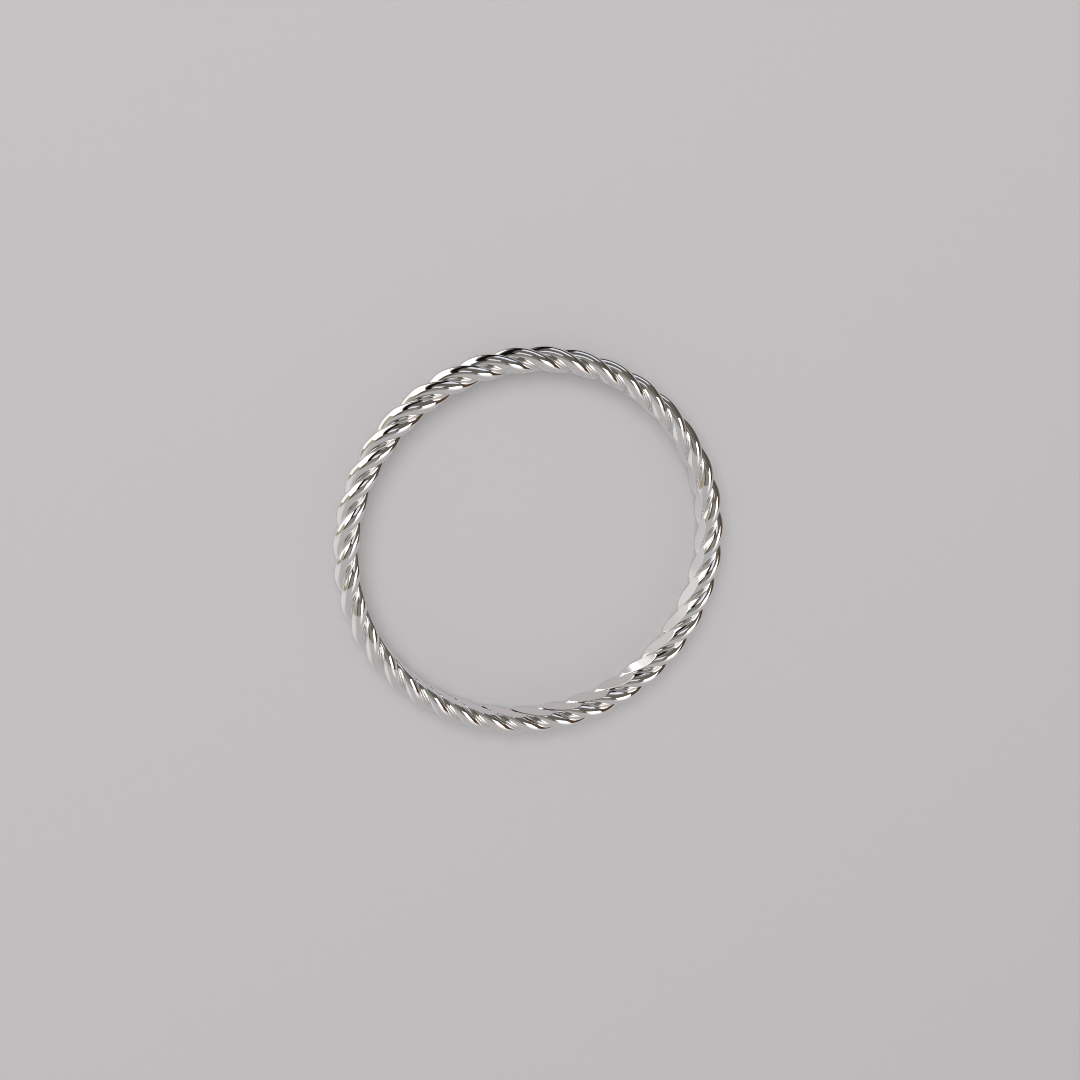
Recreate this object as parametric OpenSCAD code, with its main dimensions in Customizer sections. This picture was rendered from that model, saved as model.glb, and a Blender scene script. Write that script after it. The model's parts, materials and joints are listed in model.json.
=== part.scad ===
// Rope twist ring: thick strands laid together as a rope, closed into a ring and bored smooth inside.
// It lies on its side. The finger axis is +Z, and Z = 0 is the surface that it rests on.

/* [Finger hole] */
// Diameter of the hole, across the flats that the bore leaves on the strands
bore_d = 17; // [14:0.25:22]
// How deep the bore cuts into the crests on the inside of the ring
flat_depth = 0.235; // [0.15:0.005:0.45]

/* [Rope] */
// Number of strands twisted together
strand_count = 3; // [3:1:5]
// Thickness of the whole rope, out from the finger, before it is bored
rope_t = 1.35; // [1.2:0.05:2]
// Width of the whole rope, along the finger
rope_w = 1.96; // [1.2:0.02:2.6]
// Length along the band in which a strand goes once round the rope
lay_length = 4.68; // [3.5:0.01:8]

/* [Strand] */
// Thickness of one strand, measured out from the middle of the rope
strand_t = 0.68; // [0.5:0.01:1]
// Width of one strand, measured round the rope
strand_w = 0.75; // [0.6:0.01:1]

/* [Smoothness] */
// Flat faces across the part of a strand that shows, from seam to seam
strand_faces = 8; // [4:2:10]
// Sections of the rope between one crest and the next along the band
section_count = 6; // [4:1:8]

/* [Hidden] */
// The bore is cut by a cylinder that runs past the rope on both sides
bore_over = 1;
bore_fn = 180;

// Radius of the circle that the middle of the rope follows
rope_r = bore_d / 2 - flat_depth + rope_t / 2;
// Distance from the middle of the rope to the middle of a strand
strand_seat = (rope_t - strand_t) / 2;
// Crests that cross the top of the ring, rounded so that the rope closes on itself
crests = round(strand_count * 2 * PI * rope_r / lay_length);
// Turn of the rope between one strand and the next, and from a strand's middle to its seam
strand_step = 360 / strand_count;
seam = strand_step / 2;
// The section is as much wider along the finger as the rope is wide for its thickness
widen = rope_w / rope_t;
sections = crests * section_count;
section_points = strand_count * strand_faces;

// Distance from the middle of the rope to the outside of the oval strand, at an angle from its middle
function strand_reach(a) =
    let (
        half_t = strand_t / 2,
        half_w = strand_w / 2,
        square = pow(cos(a) / half_t, 2) + pow(sin(a) / half_w, 2),
        linear = strand_seat * cos(a) / pow(half_t, 2),
        rest = pow(strand_seat / half_t, 2) - 1
    )
    (linear + sqrt(max(0, linear * linear - square * rest))) / square;

// Where the seam between two strands lies on the oval, as an angle from the strand's crest
seam_reach = strand_reach(seam);
seam_on_oval = atan2(2 * seam_reach * sin(seam) / strand_w,
                     2 * (seam_reach * cos(seam) - strand_seat) / strand_t);

// The part of one strand that shows: points outward from the rope and round it, from its first seam
strand_outline = [
    for (i = [0 : strand_faces - 1])
        let (on_oval = seam_on_oval * (2 * i / strand_faces - 1))
        [strand_seat + strand_t / 2 * cos(on_oval), strand_w / 2 * sin(on_oval)]
];

// A point of the strand's outline, with the strand turned about the middle of the rope
function turned(point, a) = [
    point[0] * cos(a) - point[1] * sin(a),
    point[0] * sin(a) + point[1] * cos(a)
];

// One section of the rope, placed round the ring. A strand's crest is at the top of section 0.
function rope_section(i) =
    let (
        around = 360 * i / sections,
        twist = 90 - strand_step * i / section_count
    )
    [
        for (strand = [0 : strand_count - 1], point = strand_outline)
            let (
                place = turned(point, twist + strand * strand_step),
                out = rope_r + place[0]
            )
            [out * cos(around), out * sin(around), place[1] * widen]
    ];

// Number of a point. After a full round a strand runs on into the one that has turned to its place.
function point_id(i, j) =
    let (
        whole_rounds = floor(i / sections),
        strands_on = strand_count - crests % strand_count
    )
    (i % sections) * section_points + (j + whole_rounds * strands_on * strand_faces) % section_points;

// The rope as a closed solid ring, before it is bored
module rope() {
    polyhedron(
        points = [for (i = [0 : sections - 1]) each rope_section(i)],
        faces = [
            for (i = [0 : sections - 1], j = [0 : section_points - 1])
                each [
                    [point_id(i, j), point_id(i, j + 1), point_id(i + 1, j + 1)],
                    [point_id(i, j), point_id(i + 1, j + 1), point_id(i + 1, j)]
                ]
        ]
    );
}

// The band: one solid rope, lifted to rest on its lower crests and bored to fit the finger
module rope_band() {
    color("silver")
        translate([0, 0, rope_w / 2])
            difference() {
                rope();
                cylinder(d = bore_d, h = rope_w + 2 * bore_over, center = true, $fn = bore_fn);
            }
}

rope_band();
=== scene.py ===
# %% [markdown]
# # A rope twist ring in polished silver
# A rope ring is made of a few thick silver wires that are twisted together like a rope, bent round and
# soldered into one closed band. The inside is then bored to the finger's size, which leaves a long flat
# on every crest there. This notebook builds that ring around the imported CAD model, which gives its place
# and its size.

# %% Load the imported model
import json
import math

import bmesh
import bpy
from mathutils import Matrix, Vector


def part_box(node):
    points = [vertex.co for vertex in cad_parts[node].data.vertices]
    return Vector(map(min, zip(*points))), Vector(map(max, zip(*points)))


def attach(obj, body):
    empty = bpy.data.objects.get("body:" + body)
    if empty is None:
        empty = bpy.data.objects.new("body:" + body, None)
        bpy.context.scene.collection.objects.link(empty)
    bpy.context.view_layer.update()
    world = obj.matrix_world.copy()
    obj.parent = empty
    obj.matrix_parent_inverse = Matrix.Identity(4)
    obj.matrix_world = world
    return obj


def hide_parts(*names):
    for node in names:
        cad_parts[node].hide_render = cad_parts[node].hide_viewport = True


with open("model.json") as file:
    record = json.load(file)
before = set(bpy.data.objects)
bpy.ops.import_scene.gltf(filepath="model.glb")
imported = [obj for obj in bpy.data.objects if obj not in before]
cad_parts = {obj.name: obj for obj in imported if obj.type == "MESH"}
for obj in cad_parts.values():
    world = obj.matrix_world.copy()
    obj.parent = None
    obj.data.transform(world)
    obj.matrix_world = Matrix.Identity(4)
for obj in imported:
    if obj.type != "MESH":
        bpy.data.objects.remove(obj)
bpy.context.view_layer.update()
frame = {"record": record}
low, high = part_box("rope_band")
finger_bore = next(m for m in frame["record"]["mounts"] if m["name"] == "finger_bore")
print("the ring's box in mm:", [round(1000 * side, 2) for side in high - low])

# %% [markdown]
# ## The sizes
# The mesh is made in millimetres, because a ring is small and merging distances are easier to judge
# there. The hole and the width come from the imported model. The rest are a goldsmith's few choices: how
# many wires, how thick each is, and how fast they turn. A strand is 0.02 mm narrower here than in the
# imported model, which makes the valleys a little deeper. Everything further on is worked out from these.

# %% The sizes in millimetres
MM = 0.001
bore_r = finger_bore["dims"]["r_mm"]
rope_w = (high.z - low.z) / MM
rope_t = 1.35
flat_depth = 0.235
strand_count = 3
strand_t = 0.68
strand_w = 0.73
crests = 36

rope_r = bore_r - flat_depth + rope_t / 2
strand_seat = (rope_t - strand_t) / 2
strand_step = 2 * math.pi / strand_count
crest_pitch = 2 * math.pi * rope_r / crests
widen = rope_w / rope_t
print("middle of the rope at", round(rope_r, 3), "mm, one crest every", round(crest_pitch, 3), "mm")

# %% [markdown]
# ## One strand's outline
# Cut across, the rope shows three ovals that have run together. Only the outer part of each oval shows,
# from one seam to the next. A circle is scaled to the oval, moved out from the rope's middle and cut off
# at its two seams. Whole ovals would leave hidden walls inside the metal, which a solid ring doesn't
# have.

# %% An oval strand, cut at its seams
OVAL_POINTS = 44
MERGE = 0.0005


def everything(mesh):
    return mesh.verts[:] + mesh.edges[:] + mesh.faces[:]


def strand_arc():
    arc = bmesh.new()
    stand_up = Matrix.Rotation(math.radians(90), 4, "X")
    bmesh.ops.create_circle(arc, segments=OVAL_POINTS, radius=1, matrix=stand_up)
    bmesh.ops.scale(arc, vec=(strand_t / 2, 1, strand_w / 2), verts=arc.verts)
    bmesh.ops.translate(arc, vec=(strand_seat, 0, 0), verts=arc.verts)
    for side in (1, -1):
        past_seam = (-math.sin(strand_step / 2), 0, side * math.cos(strand_step / 2))
        bmesh.ops.bisect_plane(arc, geom=everything(arc), dist=MERGE, plane_co=(0, 0, 0),
                               plane_no=past_seam, clear_outer=True)
    return arc


rope = strand_arc()
seam_reach = min(Vector((v.co.x, v.co.z)).length for v in rope.verts)
print(len(rope.verts), "points on the strand, its seams", round(seam_reach, 3), "mm from the rope's middle")

# %% [markdown]
# ## The rope's outline
# The same arc, turned round the rope's middle once for each strand, closes the outline. It is turned so
# that a strand's crest is on top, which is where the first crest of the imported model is.

# %% Three arcs make one closed outline
ALONG = (0, 1, 0)
crest_up = Matrix.Rotation(math.radians(-90), 3, "Y")
bmesh.ops.rotate(rope, cent=(0, 0, 0), matrix=crest_up, verts=rope.verts)
bmesh.ops.spin(rope, geom=everything(rope), cent=(0, 0, 0), axis=ALONG, dvec=(0, 0, 0),
               angle=strand_step * (strand_count - 1), steps=strand_count - 1, use_duplicate=True)
bmesh.ops.remove_doubles(rope, verts=rope.verts, dist=MERGE)
print("the outline has", len(rope.verts), "points and", len(rope.edges), "edges")

# %% [markdown]
# ## Twisting one crest's length
# A spin that also moves along its axis is a screw, and a screw of the outline is a twisted rope. After
# one crest's length each strand has turned into the place of the next, so this short piece is all that
# has to be made: its copies follow on from each other without a step.

# %% Screw the outline along the rope
TWIST_STEPS = 24
step_along = (0, crest_pitch / TWIST_STEPS, 0)
bmesh.ops.spin(rope, geom=everything(rope), cent=(0, 0, 0), axis=ALONG, dvec=step_along,
               angle=strand_step, steps=TWIST_STEPS, use_duplicate=False)
bmesh.ops.scale(rope, vec=(1, 1, widen), verts=rope.verts)
print("one crest's length has", len(rope.faces), "faces")

# %% [markdown]
# ## The bore's flats
# On the straight rope the round bore is a plane. Five cuts beside each other follow the line where the
# plane meets the crests. Then every point beyond the plane is pressed back to it, and the points between
# the cuts ease from the round strand into the flat. That gives the narrow rounded edge that polishing
# leaves, which is what catches the light, and it keeps the rows of faces that bend round the finger.

# %% Cut along the edge of the flats, then press them
EDGE_ROUND = 0.022
EDGE_CUTS = (-1, -0.5, 0, 0.5, 1)
bore_x = bore_r - rope_r
groove = rope.verts.layers.float.new("groove")
flat = rope.verts.layers.float.new("flat")
for share in EDGE_CUTS:
    bmesh.ops.bisect_plane(rope, geom=everything(rope), dist=MERGE, plane_no=(1, 0, 0),
                           plane_co=(bore_x + share * EDGE_ROUND, 0, 0))


def pressed(x):
    over = x - bore_x
    if over > EDGE_ROUND:
        return x
    if over < -EDGE_ROUND:
        return bore_x
    return bore_x + (over + EDGE_ROUND) ** 2 / (4 * EDGE_ROUND)


for v in rope.verts:
    reach = math.hypot(v.co.x, v.co.z / widen)
    v[groove] = (rope_t / 2 - reach) / (rope_t / 2 - seam_reach)
    v[flat] = 1.0 if v.co.x < bore_x + MERGE else 0.0
    v.co.x = pressed(v.co.x)
print(round(sum(v[flat] for v in rope.verts)), "points lie on the flats of one crest's length")

# %% [markdown]
# ## Closing the ring
# The short piece is copied once for each crest, end to end, and the straight rope is bent round the
# finger. Its UV map is written before the bend, while a place along the rope is still a plain distance:
# U runs along the band and V round the rope, both in millimetres, so that fine polishing marks can
# follow the metal.

# %% Copy, unwrap and bend
one_crest = everything(rope)
for crest in range(1, crests):
    copied = bmesh.ops.duplicate(rope, geom=one_crest)["geom"]
    copied_points = [part for part in copied if isinstance(part, bmesh.types.BMVert)]
    bmesh.ops.translate(rope, vec=(0, crest * crest_pitch, 0), verts=copied_points)

uv = rope.loops.layers.uv.new("along_and_round")
for face in rope.faces:
    middle = face.calc_center_median()
    middle_turn = math.atan2(middle.z, middle.x)
    for corner in face.loops:
        turn = math.atan2(corner.vert.co.z, corner.vert.co.x) - middle_turn
        turn = middle_turn + (turn + math.pi) % (2 * math.pi) - math.pi
        corner[uv].uv = (corner.vert.co.y, turn * rope_t / 2)

bmesh.ops.remove_doubles(rope, verts=rope.verts, dist=MERGE)
for v in rope.verts:
    around = v.co.y / rope_r
    out = rope_r + v.co.x
    v.co = (out * math.cos(around), out * math.sin(around), v.co.z + rope_w / 2)
bmesh.ops.remove_doubles(rope, verts=rope.verts, dist=MERGE)
bmesh.ops.recalc_face_normals(rope, faces=rope.faces)
bmesh.ops.scale(rope, vec=(MM, MM, MM), verts=rope.verts)
print("the ring has", len(rope.faces), "faces and", sum(e.is_boundary for e in rope.edges), "open edges")

# %% [markdown]
# ## From mesh to piece
# The faces shade smoothly, except across the seams, where two strands meet in a sharp valley.

# %% Make the piece
SEAM_ANGLE = math.radians(50)


def piece_from(mesh, name):
    data = bpy.data.meshes.new(name)
    mesh.to_mesh(data)
    mesh.free()
    data.polygons.foreach_set("use_smooth", [True] * len(data.polygons))
    data.set_sharp_from_angle(angle=SEAM_ANGLE)
    piece = bpy.data.objects.new(name, data)
    bpy.context.scene.collection.objects.link(piece)
    return piece


band = piece_from(rope, "silver_rope_band")
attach(band, "root")
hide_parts("rope_band")
print("triangles:", sum(len(p.vertices) - 2 for p in band.data.polygons))

# %% [markdown]
# ## Writing materials as expressions
# A node tree is easier to read as arithmetic. This small class wraps a socket, so that adding or
# multiplying two of them adds the Math node that does it. Any other node comes from one method, which
# takes the node's type, its settings and the values of its sockets.

# %% A socket that can be calculated with
class Sock:
    tree = None

    def __init__(self, socket):
        self.socket = socket

    @classmethod
    def node(cls, kind, settings=None, output=0, **inputs):
        node = cls.tree.nodes.new(kind)
        for key, value in (settings or {}).items():
            setattr(node, key, value)
        for key, value in inputs.items():
            place = int(key[2:]) if key.startswith("in") and key[2:].isdigit() else key.replace("_", " ")
            if isinstance(value, Sock):
                cls.tree.links.new(value.socket, node.inputs[place])
            else:
                node.inputs[place].default_value = value
        return cls(node.outputs[output])

    def maths(self, operation, other=0.0, swap=False):
        pair = (other, self) if swap else (self, other)
        return Sock.node("ShaderNodeMath", {"operation": operation}, in0=pair[0], in1=pair[1])

    def __add__(self, other):
        return self.maths("ADD", other)

    def __sub__(self, other):
        return self.maths("SUBTRACT", other)

    def __rsub__(self, other):
        return self.maths("SUBTRACT", other, swap=True)

    def __mul__(self, other):
        return self.maths("MULTIPLY", other)

    def __truediv__(self, other):
        return self.maths("DIVIDE", other)

    def __rtruediv__(self, other):
        return self.maths("DIVIDE", other, swap=True)

    __radd__ = __add__
    __rmul__ = __mul__

    def __abs__(self):
        return self.maths("ABSOLUTE")


print("sockets can be added, subtracted, multiplied and divided")

# %% [markdown]
# ## Four helpers for materials
# Two of them stand for nodes that come back again and again: a soft step from 0 to 1, and a blend of two
# colours. The other two start a material and plug results into its shader.

# %% Steps, blends and sockets
def smooth_range(value, start, end):
    return Sock.node("ShaderNodeMapRange", {"interpolation_type": "SMOOTHSTEP"}, Value=value,
                     in1=start, in2=end)


def blend_colours(amount, first, second):
    return Sock.node("ShaderNodeMix", {"data_type": "RGBA"}, output=2, in0=amount, in6=first, in7=second)


def new_material(name):
    material = bpy.data.materials.new(name)
    material.use_nodes = True
    Sock.tree = material.node_tree
    return material, material.node_tree.nodes["Principled BSDF"]


def feed(shader, **inputs):
    for key, value in inputs.items():
        Sock.tree.links.new(value.socket, shader.inputs[key.replace("_", " ")])


print("soft steps, blends and new materials are ready")

# %% [markdown]
# ## Polished silver
# Silver takes the brightest polish of all metals, so nearly everything seen on it is a reflection. What
# tells it from a perfect mirror is small: fine marks of the polishing cloth along the strands, a softer
# gloss on the flats and down in the valleys, and a little grey left in the seams, where no cloth
# reaches. The places of the flats and seams were stored on the mesh when it was made, so the material
# only has to read them. A depth of 0 is a strand's crest and a depth of 1 is its seam.

# %% The silver material
SILVER = (0.93, 0.92, 0.905, 1)
SEAM_GREY = (0.42, 0.40, 0.37, 1)
MARKS_PER_MM = (3.0, 40.0, 1.0)
HAZE_PER_METRE = 700.0
MARK_HEIGHT = 0.00002
MARK_STRENGTH = 0.004
VALLEY_DEPTHS = (0.8, 1.0)
SEAM_DEPTHS = (0.985, 1.01)
MIRROR_ROUGH = 0.006
HAZE_ROUGH = 0.01
MARKS_ROUGH = 0.008
VALLEY_ROUGH = 0.15
FLAT_ROUGH = 0.03


def silver_material():
    material, shader = new_material("polished_silver")
    shader.inputs["Metallic"].default_value = 1.0
    depth = Sock.node("ShaderNodeAttribute", {"attribute_name": "groove"}, output=2)
    on_flat = Sock.node("ShaderNodeAttribute", {"attribute_name": "flat"}, output=2)
    place = Sock.node("ShaderNodeUVMap", {"uv_map": "along_and_round"})
    drawn_out = Sock.node("ShaderNodeMapping", Vector=place, Scale=MARKS_PER_MM)
    marks = Sock.node("ShaderNodeTexNoise", Vector=drawn_out, Scale=1.0, Detail=3.0, Roughness=0.6)
    spot = Sock.node("ShaderNodeTexCoord", output=3)
    haze = Sock.node("ShaderNodeTexNoise", Vector=spot, Scale=HAZE_PER_METRE, Detail=2.0)
    valley = smooth_range(depth, *VALLEY_DEPTHS) * (1 - on_flat)
    seam = smooth_range(depth, *SEAM_DEPTHS) * (1 - on_flat)
    colour = blend_colours(seam, SILVER, SEAM_GREY)
    rough = MIRROR_ROUGH + HAZE_ROUGH * haze + MARKS_ROUGH * marks
    rough = rough + VALLEY_ROUGH * valley + FLAT_ROUGH * on_flat
    bump = Sock.node("ShaderNodeBump", Strength=MARK_STRENGTH, Distance=MARK_HEIGHT, Height=marks)
    feed(shader, Base_Color=colour, Roughness=rough, Normal=bump)
    return material


band.data.materials.append(silver_material())
print("material on the band:", band.data.materials[0].name)

# %% [markdown]
# ## The floor
# The ring lies by itself on a plain pale tabletop. A large sheet far wider than the view stands for it.
# The silver doesn't mirror it, because all that the silver mirrors is laid out by itself further on.

# %% The tabletop
FLOOR_SIZE = 1.6
PALE_GREY = (0.80, 0.785, 0.79, 1)
GRAIN_PER_METRE = 900.0
TABLE_ROUGH = 0.55
GRAIN_ROUGH = 0.1


def tabletop():
    sheet = bmesh.new()
    bmesh.ops.create_grid(sheet, x_segments=1, y_segments=1, size=FLOOR_SIZE / 2)
    data = bpy.data.meshes.new("tabletop")
    sheet.to_mesh(data)
    sheet.free()
    floor = bpy.data.objects.new("tabletop", data)
    bpy.context.scene.collection.objects.link(floor)
    material, shader = new_material("pale_tabletop")
    shader.inputs["Base Color"].default_value = PALE_GREY
    spot = Sock.node("ShaderNodeTexCoord", output=3)
    grain = Sock.node("ShaderNodeTexNoise", Vector=spot, Scale=GRAIN_PER_METRE, Detail=4.0)
    feed(shader, Roughness=TABLE_ROUGH + GRAIN_ROUGH * grain)
    data.materials.append(material)
    floor.visible_glossy = False
    floor.visible_shadow = False


tabletop()
print("the tabletop is", FLOOR_SIZE, "m across")

# %% [markdown]
# ## The camera
# The camera looks down along the finger axis and leans a little to one side of it, so that the inside of
# the hole shows. It starts straight above the ring and is turned about a line that lies across the
# floor. The ring's middle and size in the picture then set the lens and move the camera sideways.

# %% Set up the camera
PHOTO_SIDE = 1080
RING_MIDDLE = Vector((0, 0, rope_w / 2 * MM))
LEAN = math.radians(20.6)
LEAN_TOWARDS = math.radians(-45.3)
ROLL = math.radians(0.63)
CAMERA_DISTANCE = 0.0776
RING_PIXELS = 186.0
MIDDLE_PIXEL = (532.9, 545.5)
SENSOR_WIDTH = 36
NEAREST = 0.001


def set_up_camera():
    hinge = Vector((-math.sin(LEAN_TOWARDS), math.cos(LEAN_TOWARDS), 0))
    turn = Matrix.Rotation(-LEAN, 3, hinge) @ Matrix.Rotation(ROLL, 3, "Z")
    rights, ups, back = (turn.col[i] for i in range(3))
    pixel = rope_r * MM / RING_PIXELS
    across = (PHOTO_SIDE / 2 - MIDDLE_PIXEL[0]) * pixel
    along = (MIDDLE_PIXEL[1] - PHOTO_SIDE / 2) * pixel
    lens = bpy.data.cameras.new("camera")
    lens.sensor_width = SENSOR_WIDTH
    lens.lens = SENSOR_WIDTH * CAMERA_DISTANCE / (PHOTO_SIDE * pixel)
    lens.clip_start = NEAREST
    camera = bpy.data.objects.new("camera", lens)
    bpy.context.scene.collection.objects.link(camera)
    camera.matrix_world = turn.to_4x4()
    camera.location = RING_MIDDLE + back * CAMERA_DISTANCE + rights * across + ups * along
    bpy.context.scene.camera = camera
    return rights, ups, back


camera_right, camera_up, camera_back = set_up_camera()
print("the lens is", round(bpy.context.scene.camera.data.lens, 1), "mm long")

# %% [markdown]
# ## Light on the table
# Jewellery is lit twice over: soft light for the table, and cards for the metal to mirror. First the
# table. A broad lamp gives the soft shadow that seats the ring, and an even dome fills it in. Neither is
# for the silver to mirror: what the silver mirrors comes after.

# %% The table lamp
DOME = (0.36, 0.352, 0.355, 1)
LAMP_TOWARDS = Vector((-0.35, 0.4, 1)).normalized()
LAMP_DISTANCE = 0.4
LAMP_SPREAD = math.radians(20)
LAMP_RADIANCE = 3.0


def table_lamp():
    lamp = bpy.data.lights.new("table_lamp", "AREA")
    lamp.shape = "DISK"
    lamp.size = 2 * LAMP_DISTANCE * math.tan(LAMP_SPREAD)
    lamp.energy = LAMP_RADIANCE * math.pi * math.pi * (lamp.size / 2) ** 2
    light = bpy.data.objects.new("table_lamp", lamp)
    light.location = RING_MIDDLE + LAMP_TOWARDS * LAMP_DISTANCE
    light.rotation_euler = LAMP_TOWARDS.to_track_quat("Z", "Y").to_euler()
    light.visible_glossy = False
    bpy.context.scene.collection.objects.link(light)
    print("the table lamp is", round(lamp.size, 2), "m wide")


table_lamp()

# %% [markdown]
# ## What the silver mirrors
# Polished silver hardly has a look of its own. It shows the studio: white softboxes make its highlights,
# and the dark cards between them draw the black lines that make metal look hard. The studio could be
# built of lamps and boards, but flat cards painted on the world are quicker to adjust and free of noise.
#
# Each card is placed by its turn to the right of straight ahead and its height above the level, as seen
# from the ring. Then come its half width, its half height, its tilt and the softness of its edge. All
# are in degrees. Its colour is last. A later card covers an earlier one. Pools of light fade out,
# softboxes end sharply.

# %% The cards round the ring
SHARP = 1
STUDIO_CARDS = (
    ("left light pool on the table", -73, -28, 34, 23, 0, 20, (0.70, 0.69, 0.70)),
    ("light pool behind on the right", 136, -5, 22, 22, 0, 16, (0.93, 0.90, 0.91)),
    ("shade low on the right", 62, -3, 22, 6, 0, 3, (0.22, 0.195, 0.175)),
    ("beige strip low on the left", -74, -6, 26, 4, -9, 2, (0.35, 0.30, 0.21)),
    ("pale card low on the left", -40, -4, 8, 8, 0, 2, (0.71, 0.70, 0.70)),
    ("grey card behind on the left", -160, 18, 24, 19, 0, 4, (0.25, 0.24, 0.22)),
    ("dark card beside the big softbox", -119, 22, 8, 23, 0, 3, (0.085, 0.08, 0.07)),
    ("dark card high on the right", 38, 35, 22, 12, 0, 4, (0.065, 0.061, 0.056)),
    ("dark brown card on the right", 88, 34, 20, 16, 0, 4, (0.085, 0.073, 0.058)),
    ("brown card on the right", 95, 7, 19, 14, 0, 3, (0.085, 0.042, 0.016)),
    ("black card over the big softbox", -60, 56, 36, 7, 0, SHARP, (0.006, 0.006, 0.006)),
    ("black card high on the left", -118, 46, 12, 8, 0, SHARP, (0.006, 0.006, 0.006)),
    ("black card ahead", -1, 34, 11, 15, 0, SHARP, (0.004, 0.004, 0.004)),
    ("dark card ahead", 13, 31, 8, 9, 0, 2, (0.06, 0.058, 0.055)),
    ("cool white card high ahead", 25, 58, 19, 12, 0, SHARP, (0.78, 0.80, 0.92)),
    ("cool white card high behind", -148, 57, 16, 11, 0, SHARP, (0.76, 0.78, 0.86)),
    ("grey card ahead", 8, 8, 36, 13, 0, SHARP, (0.48, 0.448, 0.462)),
    ("beige card on the left", -95, 9, 19, 9, 0, SHARP, (0.40, 0.36, 0.275)),
    ("pale card beside it", -37, 6, 8, 6, 0, 3, (0.61, 0.595, 0.595)),
    ("corner of the big softbox", -38, 16, 9, 5, 0, SHARP, (0.90, 0.895, 0.89)),
    ("lower part of the big softbox", -60, 8, 16, 12, 0, SHARP, (1.0, 1.0, 0.99)),
    ("big softbox on the left", -68, 31, 39, 14, 0, SHARP, (1.3, 1.3, 1.3)),
    ("softbox behind on the right", 134, 19, 22, 18, 0, SHARP, (1.6, 1.6, 1.6)),
)
print(len(STUDIO_CARDS), "cards, from the", STUDIO_CARDS[0][0], "to the", STUDIO_CARDS[-1][0])

# %% [markdown]
# ## A card as a mask
# The cards are laid out from the camera's point of view. The picture's up is tipped back by the angle at
# which a camera looks down on a small ring, and that gives the studio an up and an ahead of its own. A
# card is a rectangle that faces the ring. Whether a mirrored ray meets it is seen from how far the ray
# leans sideways and upwards for each unit that it goes towards the card's middle.

# %% Directions and masks
STUDIO_TILT = math.radians(23)
BEHIND = 0.02
studio_up = math.cos(STUDIO_TILT) * camera_up + math.sin(STUDIO_TILT) * camera_back
studio_ahead = math.sin(STUDIO_TILT) * camera_up - math.cos(STUDIO_TILT) * camera_back


def studio_direction(turn, height):
    turn, height = math.radians(turn), math.radians(height)
    level = math.cos(turn) * studio_ahead + math.sin(turn) * camera_right
    return math.cos(height) * level + math.sin(height) * studio_up


def facing(view, direction):
    return Sock.node("ShaderNodeVectorMath", {"operation": "DOT_PRODUCT"}, output=1,
                     in0=view, in1=direction)


def card_mask(view, turn, height, half_width, half_height, tilt, edge):
    centre = studio_direction(turn, height)
    side = studio_direction(turn + 90, 0)
    rise = side.cross(centre)
    tilt = math.radians(tilt)
    across = math.cos(tilt) * side + math.sin(tilt) * rise
    along = math.cos(tilt) * rise - math.sin(tilt) * side
    towards = facing(view, centre)
    mask = towards.maths("GREATER_THAN", BEHIND)
    depth = towards.maths("MAXIMUM", BEHIND)
    soft = math.tan(math.radians(edge))
    for axis, half in ((across, half_width), (along, half_height)):
        reach = math.tan(math.radians(half))
        mask = mask * smooth_range(abs(facing(view, axis)) / depth, reach + soft, reach - soft)
    return mask


print("the studio's up is", [round(part, 2) for part in studio_up])

# %% [markdown]
# ## The studio as a world
# Above the horizon the silver sees a dim room, and below it the table. The cards are laid over both.
# Only glossy rays see this studio. All others see the even dome, so the floor stays plain. Each card's
# Mix node is labelled with its name, so that it can be found again in the node editor.

# %% Room, table, cards and dome
ROOM_TONE = (0.13, 0.12, 0.105)
TABLE_TONE = (0.455, 0.44, 0.45)
HORIZON_BLUR = 0.02


def studio():
    world = bpy.data.worlds.new("studio")
    bpy.context.scene.world = world
    world.use_nodes = True
    Sock.tree = world.node_tree
    view = Sock.node("ShaderNodeTexCoord", output=0)
    below = smooth_range(facing(view, -studio_up), -HORIZON_BLUR, HORIZON_BLUR)
    colour = blend_colours(below, (*ROOM_TONE, 1), (*TABLE_TONE, 1))
    for name, *place, tint in STUDIO_CARDS:
        colour = blend_colours(card_mask(view, *place), colour, (*tint, 1))
        colour.socket.node.label = name
    mirrored = Sock.node("ShaderNodeBackground", Color=colour)
    dome = Sock.node("ShaderNodeBackground", Color=DOME)
    seen_in_metal = Sock.node("ShaderNodeLightPath", output=3)
    both = Sock.node("ShaderNodeMixShader", in0=seen_in_metal, in1=dome, in2=mirrored)
    world.node_tree.links.new(both.socket, world.node_tree.nodes["World Output"].inputs["Surface"])
    print("the world has", len(world.node_tree.nodes), "nodes")


studio()

# %% [markdown]
# ## The picture's finish
# The standard view adds no film curve, so the softboxes burn out to clean white on the metal. A pixel
# filter that is narrower than usual keeps the thin lines in the silver crisp.

# %% View and filter
bpy.context.scene.view_settings.view_transform = "Standard"
bpy.context.scene.cycles.filter_width = 1.0
print("filter width:", bpy.context.scene.cycles.filter_width, "pixels")

# %% [markdown]
# ## The end
# The ring, its floor, its light, its studio and its camera are all set up.


print("the scene is set up")
